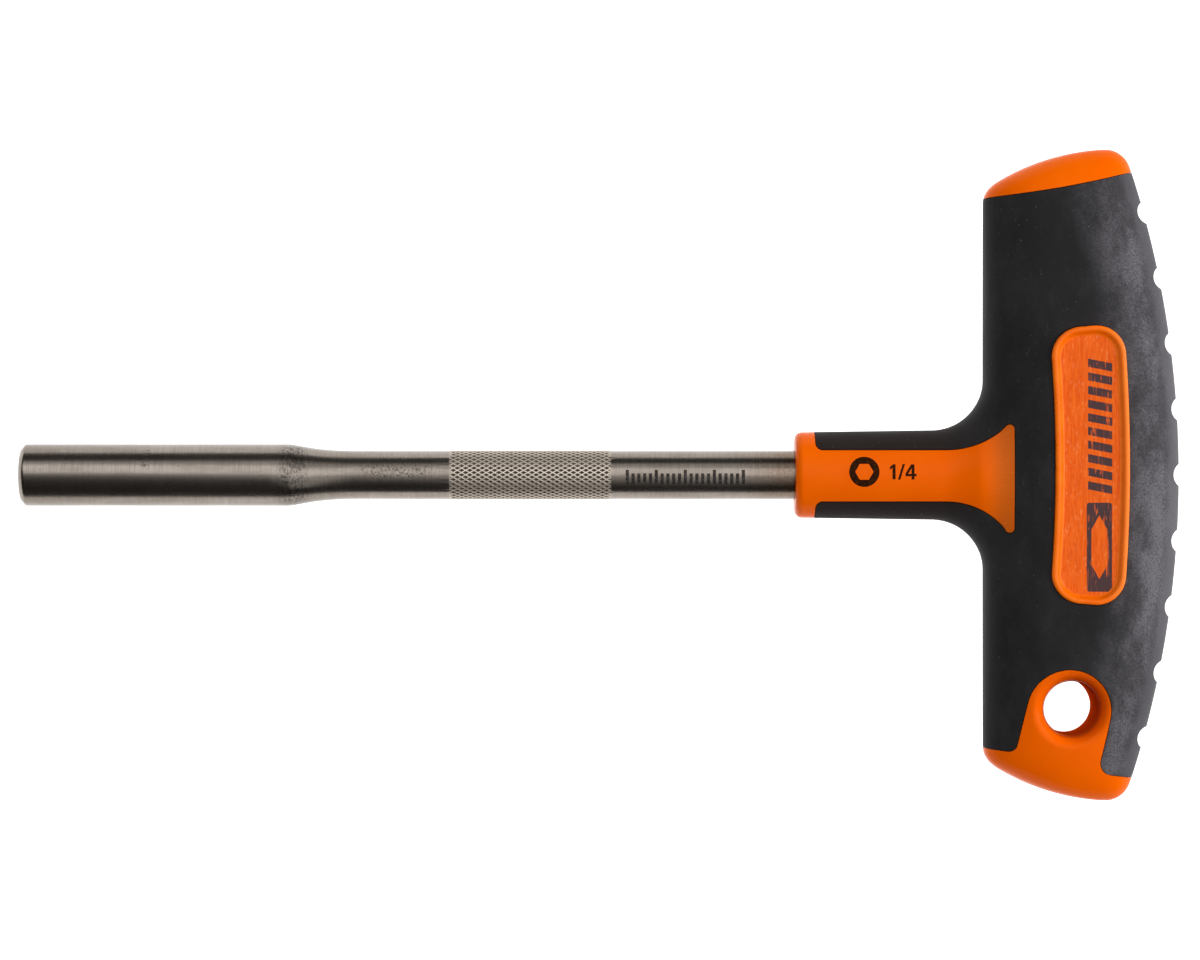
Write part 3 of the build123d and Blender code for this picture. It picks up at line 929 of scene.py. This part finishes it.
def steel_look():
    """Brushed nickel-plated steel: fine turning lines, handling stains, pits, a darker speckled band at the
    taper's start, and a matt knurled band with painted highlights on its crests and painted shade in its
    pits.
    """
    mat, shader = material("brushed_steel")
    x, y, z = along(mat, 0), along(mat, 1), along(mat, 2)
    lines = noise(mat, 1, (5200, 160, 160), 4, 0.6)
    stains = noise(mat, 240, (0.22, 1, 1), 6, 0.7)
    grain = noise(mat, 1, (2400, 1500, 1500), 4, 0.65)
    colour = blend(mat, span(mat, stains, 0.38, 0.66), (0.252, 0.222, 0.196), (0.200, 0.170, 0.144))
    colour = blend(mat, span(mat, lines, 0.35, 0.7, 0, 0.45), colour, (0.14, 0.118, 0.098))
    browned = maths(mat, "MULTIPLY", span(mat, x, 0.136, 0.15, 0, 0.7), span(mat, grain, 0.3, 0.6, 0.4, 1))
    colour = blend(mat, browned, colour, (0.13, 0.075, 0.042))

    nick = maths(mat, "MULTIPLY", zone(mat, x, *NICK_X), zone(mat, y, *NICK_Y))
    smear = maths(mat, "MULTIPLY", zone(mat, x, *SMEAR_X), zone(mat, y, *SMEAR_Y))
    thin = maths(mat, "MULTIPLY", zone(mat, x, *PITTED_X), 0.12)
    pits = maths(mat, "ADD", thin, maths(mat, "ADD", nick, smear))
    pits = maths(mat, "MULTIPLY", pits, span(mat, grain, 0.5, 0.64))
    # Darker speckled band at the taper's start.
    taper_dark = maths(mat, "MULTIPLY", zone(mat, x, *TAPER_DARK_X), span(mat, grain, 0.46, 0.58, 0.12, 0.8))
    pits = maths(mat, "MAXIMUM", pits, taper_dark)
    pits = maths(mat, "ADD", pits, span(mat, noise(mat, 1500, detail=2), 0.72, 0.76, 0, 0.6))
    colour = blend(mat, maths(mat, "MINIMUM", pits, 0.7), colour, (0.05, 0.042, 0.038))

    knurled = zone(mat, x, KNURL_START, KNURL_START + KNURL_LENGTH, 0.1)
    # Painted highlight on the knurl's crests and painted shade in its pits, graded by the distance from the
    # axis.
    crest_highlight = span(mat, length(mat, y, z), (SHAFT_R - 0.045) * MM, (SHAFT_R + KNURL_RISE) * MM)
    knurl_highlight_and_shade = blend(mat, crest_highlight, (0.115, 0.092, 0.073), (0.74, 0.655, 0.56))
    colour = blend(mat, knurled, colour, knurl_highlight_and_shade)
    link(mat, colour, shader.inputs["Base Color"])
    smeared = span(mat, stains, 0.3, 0.7, 0.23, 0.29)
    rough = maths(mat, "ADD", smeared, maths(mat, "MULTIPLY", knurled, 0.22))
    link(mat, rough, shader.inputs["Roughness"])
    shader.inputs["Metallic"].default_value = 1.0
    normal = bump(mat, lines, 0.000012, 0.5)
    link(mat, bump(mat, pits, -0.00002, 0.5, normal), shader.inputs["Normal"])
    return mat


def orange_look():
    """Glossy moulded orange: faint mottling, a scratched fan whose slope is darkened by painted shade, and
    painted shade on the wall of the hang hole.
    """
    mat, shader = material("glossy_orange")
    mottle = noise(mat, 60, detail=4)
    colour = blend(mat, span(mat, mottle, 0.3, 0.7), (0.87, 0.118, 0.0), (0.91, 0.134, 0.0))
    scratch = noise(mat, 1, (220, 2600, 2600), 3, 0.7, 1.2)
    x, y, z = along(mat, 0), along(mat, 1), along(mat, 2)
    fan = maths(mat, "MULTIPLY", span(mat, x, 0.185, 0.1905), zone(mat, y, *FAN_WEAR_SHADE_Y))
    fan_wear_and_shade = maths(mat, "MULTIPLY", fan, span(mat, z, 0.0, 0.005))
    lines = span(mat, scratch, 0.58, 0.70)
    marks = maths(mat, "MULTIPLY", lines, maths(mat, "ADD", maths(mat, "MULTIPLY", fan_wear_and_shade, 0.3), 0.012))
    # Painted shade darkening the fan's rising slope; the same mask also adds scratches there.
    colour = blend(mat, maths(mat, "MULTIPLY", fan_wear_and_shade, 0.75), colour, (0.50, 0.105, 0.010))
    colour = blend(mat, marks, colour, (0.80, 0.27, 0.09))
    # Painted shade on the hang hole's wall; the same mask turns the wall's specular off.
    from_hole = [maths(mat, "SUBTRACT", value, centre * MM) for value, centre in zip((x, y), HANG_HOLE)]
    outside_hole_shade = span(mat, length(mat, *from_hole), (HANG_HOLE_R + 0.1) * MM, (HANG_HOLE_R + 0.7) * MM)
    colour = blend(mat, outside_hole_shade, (0.50, 0.065, 0.001), colour)
    link(mat, colour, shader.inputs["Base Color"])
    speck = span(mat, noise(mat, 700, detail=1), 0.74, 0.78)
    rough = maths(mat, "ADD", span(mat, mottle, 0.3, 0.7, 0.2, 0.27), maths(mat, "MULTIPLY", speck, 0.3))
    link(mat, rough, shader.inputs["Roughness"])
    link(mat, maths(mat, "MULTIPLY", outside_hole_shade, 0.035), shader.inputs["Specular IOR Level"])
    normal = bump(mat, noise(mat, 420, detail=3), 0.00002, 0.2)
    link(mat, bump(mat, marks, 0.00001, 0.5, normal), shader.inputs["Normal"])
    return mat


def streaks(mat):
    """Wavy streaks along the badge's length."""
    return noise(mat, 1, (2300, 210, 300), 4, 0.62, 0.9)


def rim_look():
    """Glossy orange bead with a painted highlight on its palm side."""
    mat, shader = material("badge_rim_orange")
    mottle = noise(mat, 240, detail=4)
    colour = blend(mat, span(mat, mottle, 0.3, 0.7), (0.90, 0.140, 0.001), (0.96, 0.175, 0.003))
    # Painted highlight on the rim's palm side.
    palm_side_highlight = span(mat, along(mat, 0), 0.2085, 0.2125, 0, 0.6)
    link(mat, blend(mat, palm_side_highlight, colour, (1.0, 0.24, 0.03)), shader.inputs["Base Color"])
    shader.inputs["Specular IOR Level"].default_value = 0.12
    link(mat, span(mat, mottle, 0.3, 0.7, 0.24, 0.34), shader.inputs["Roughness"])
    link(mat, bump(mat, mottle, 0.00003, 0.2), shader.inputs["Normal"])
    return mat


def floor_look():
    """Matt textured orange with pale flecks."""
    mat, shader = material("badge_floor_orange")
    run = streaks(mat)
    fleck = span(mat, noise(mat, 1, (2600, 900, 300), 2, 0.6), 0.56, 0.74)
    colour = blend(mat, span(mat, run, 0.36, 0.66), (0.76, 0.092, 0.001), (0.88, 0.140, 0.007))
    colour = blend(mat, maths(mat, "MULTIPLY", fleck, 0.4), colour, (0.95, 0.34, 0.13))
    link(mat, colour, shader.inputs["Base Color"])
    shader.inputs["Roughness"].default_value = 0.6
    shader.inputs["Specular IOR Level"].default_value = 0.12
    link(mat, bump(mat, run, 0.00012, 0.5), shader.inputs["Normal"])
    return mat


def badge_ink_look():
    """Dark print broken up by the streaks under it."""
    mat, shader = material("badge_ink")
    run = streaks(mat)
    colour = blend(mat, span(mat, run, 0.56, 0.66), (0.07, 0.036, 0.038), (0.62, 0.10, 0.02))
    link(mat, colour, shader.inputs["Base Color"])
    shader.inputs["Roughness"].default_value = 0.6
    shader.inputs["Specular IOR Level"].default_value = 0.12
    link(mat, bump(mat, run, 0.0001, 0.4), shader.inputs["Normal"])
    return mat


def ink_look(name, dark, light, metal):
    """Print or etching with slightly uneven cover."""
    mat, shader = material(name)
    cover = noise(mat, 2200, detail=3)
    link(mat, blend(mat, span(mat, cover, 0.45, 0.75), dark, light), shader.inputs["Base Color"])
    shader.inputs["Metallic"].default_value = metal
    shader.inputs["Roughness"].default_value = 0.5
    shader.inputs["Specular IOR Level"].default_value = 0.02
    link(mat, bump(mat, cover, 0.00001, 0.3), shader.inputs["Normal"])
    return mat


def rubber_look():
    """Soft black with a fine matt grain and pale dust, a warm painted reflection of the orange near the
    neck, paling towards the palm that is partly scuffs and partly painted sheen, and a painted shade line
    along a furrow.
    """
    mat, shader = material("soft_black_rubber")
    x, y = along(mat, 0), along(mat, 1)
    from_centre = length(mat, maths(mat, "SUBTRACT", x, (PALM_CREST_X - PALM_R) * MM), y)
    from_edge = maths(mat, "SUBTRACT", PALM_R * MM, from_centre)
    cloud = noise(mat, 130, (1, 0.6, 1), 6, 0.65)
    suede = span(mat, noise(mat, 2600, detail=3, rough=0.7), 0.34, 0.66, 0.55, 1.3)
    colour = blend(mat, span(mat, cloud, 0.35, 0.7), (0.0190, 0.0180, 0.0190), (0.0290, 0.0275, 0.0292))
    # Painted reflection: warm orange light thrown onto the black near the neck.
    colour = blend(mat, span(mat, x, 0.176, 0.187, 0.7, 0), colour, (0.023, 0.0145, 0.0125))
    # Paler towards the palm edge: partly scuffs, partly painted sheen where the palm side catches the
    # light.
    rubbed_and_sheen = span(mat, from_edge, 0.0045, 0.0165, 1, 0)
    speckled = maths(mat, "MULTIPLY", suede, span(mat, cloud, 0.38, 0.62, 0.35, 1))
    smooth_edge = span(mat, from_edge, 0.0016, 0.0046, 0.8, 0)
    scuff_and_sheen = maths(mat, "MULTIPLY", rubbed_and_sheen, blend_value(mat, smooth_edge, speckled, 0.66))
    # Painted shade: a darker line along a furrow in from the palm edge.
    furrow_shade = zone(mat, from_edge, *FURROW_SHADE)
    scuff_and_sheen = maths(mat, "MULTIPLY", scuff_and_sheen, maths(mat, "SUBTRACT", 1.0, maths(mat, "MULTIPLY", furrow_shade, 0.2)))
    scuff_and_sheen = maths(mat, "MULTIPLY", scuff_and_sheen, span(mat, maths(mat, "ABSOLUTE", y), 0.012, 0.045, 1.0, 0.78))
    colour = blend(mat, scuff_and_sheen, colour, (0.140, 0.134, 0.148))
    dust = span(mat, noise(mat, 2300, detail=2), 0.70, 0.78, 0, 0.35)
    scratch = span(mat, noise(mat, 1, (900, 130, 500), 3, 0.7, 1.5), 0.70, 0.80, 0, 0.12)
    colour = blend(mat, maths(mat, "MAXIMUM", dust, scratch), colour, (0.28, 0.27, 0.28))
    link(mat, colour, shader.inputs["Base Color"])
    link(mat, span(mat, cloud, 0.3, 0.7, 0.5, 0.62), shader.inputs["Roughness"])
    shader.inputs["Specular IOR Level"].default_value = 0.03
    normal = bump(mat, noise(mat, 5200, detail=2), 0.00002, 0.35)
    link(mat, bump(mat, cloud, 0.0001, 0.2, normal), shader.inputs["Normal"])
    return mat


def plain_look(name, dark, light, rough, metal, scale):
    """Evenly worn surface for the small and hidden pieces."""
    mat, shader = material(name)
    grain = noise(mat, scale, detail=4)
    link(mat, blend(mat, span(mat, grain, 0.3, 0.7), dark, light), shader.inputs["Base Color"])
    link(mat, span(mat, grain, 0.3, 0.7, rough, rough + 0.12), shader.inputs["Roughness"])
    shader.inputs["Metallic"].default_value = metal
    link(mat, bump(mat, grain, 0.00002, 0.3), shader.inputs["Normal"])
    return mat


def dress(name, look):
    """Material on a CAD node that stays."""
    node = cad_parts[name]
    node.data.materials.clear()
    node.data.materials.append(look)


# Stage

def add_floor():
    """Bright white floor just under the tool."""
    mesh = bpy.data.meshes.new("floor")
    corners = [(u * FLOOR_REACH, v * FLOOR_REACH, FLOOR_Z) for u, v in ((-1, -1), (1, -1), (1, 1), (-1, 1))]
    mesh.from_pydata(corners, [], [(0, 1, 2, 3)])
    floor = bpy.data.objects.new("floor", mesh)
    bpy.context.collection.objects.link(floor)
    mat, shader = material("floor_white")
    shader.inputs["Base Color"].default_value = (0.2, 0.2, 0.2, 1)
    shader.inputs["Roughness"].default_value = 0.9
    shader.inputs["Specular IOR Level"].default_value = 0.1
    shader.inputs["Emission Color"].default_value = (1, 1, 1, 1)
    shader.inputs["Emission Strength"].default_value = FLOOR_GLOW
    mesh.materials.append(mat)


def add_area(name, spot, aim, size, power):
    """Rectangular light that faces its aim."""
    light = bpy.data.lights.new(name, "AREA")
    light.shape = "RECTANGLE"
    light.size, light.size_y = size
    light.energy = power
    lamp = bpy.data.objects.new(name, light)
    bpy.context.collection.objects.link(lamp)
    lamp.location = spot
    lamp.rotation_euler = (Vector(aim) - Vector(spot)).to_track_quat("-Z", "Y").to_euler()


def add_camera():
    """Camera straight above the tool, looking down."""
    data = bpy.data.cameras.new("camera")
    data.sensor_width = SENSOR_WIDTH
    data.lens = LENS
    camera = bpy.data.objects.new("camera", data)
    bpy.context.collection.objects.link(camera)
    camera.location = CAMERA
    bpy.context.scene.camera = camera


def add_world():
    """Dim, even surroundings."""
    world = bpy.data.worlds.new("world")
    world.use_nodes = True
    grey = (WORLD_LEVEL, WORLD_LEVEL, WORLD_LEVEL, 1)
    world.node_tree.nodes["Background"].inputs["Color"].default_value = grey
    bpy.context.scene.world = world
    bpy.context.scene.view_settings.view_transform = "Standard"


size_ink = ink_look("size_ink", (0.022, 0.007, 0.002), (0.07, 0.018, 0.003), 0.0)
make_blade(steel_look())
core_plastic = plain_look("core_plastic", (0.02, 0.02, 0.022), (0.035, 0.035, 0.038), 0.45, 0.0, 500)
nose_sleeve = make_handle(orange_look(), rubber_look(), core_plastic)
for side, face in ((1, "front"), (-1, "rear")):
    make_badge(side, face, rim_look(), floor_look())
make_size_mark(nose_sleeve, size_ink)
make_shaft_scale(ink_look("shaft_etch", (0.035, 0.03, 0.028), (0.09, 0.08, 0.075), 0.5))
make_badge_print(badge_ink_look())
dress("bit_magnet", plain_look("magnet_nickel", (0.30, 0.29, 0.28), (0.42, 0.41, 0.40), 0.3, 1.0, 900))
dress("retaining_ring", plain_look("spring_wire", (0.38, 0.36, 0.34), (0.5, 0.48, 0.45), 0.22, 1.0, 1500))

add_floor()
for light in LIGHTS:
    add_area(*light)
add_camera()
add_world()
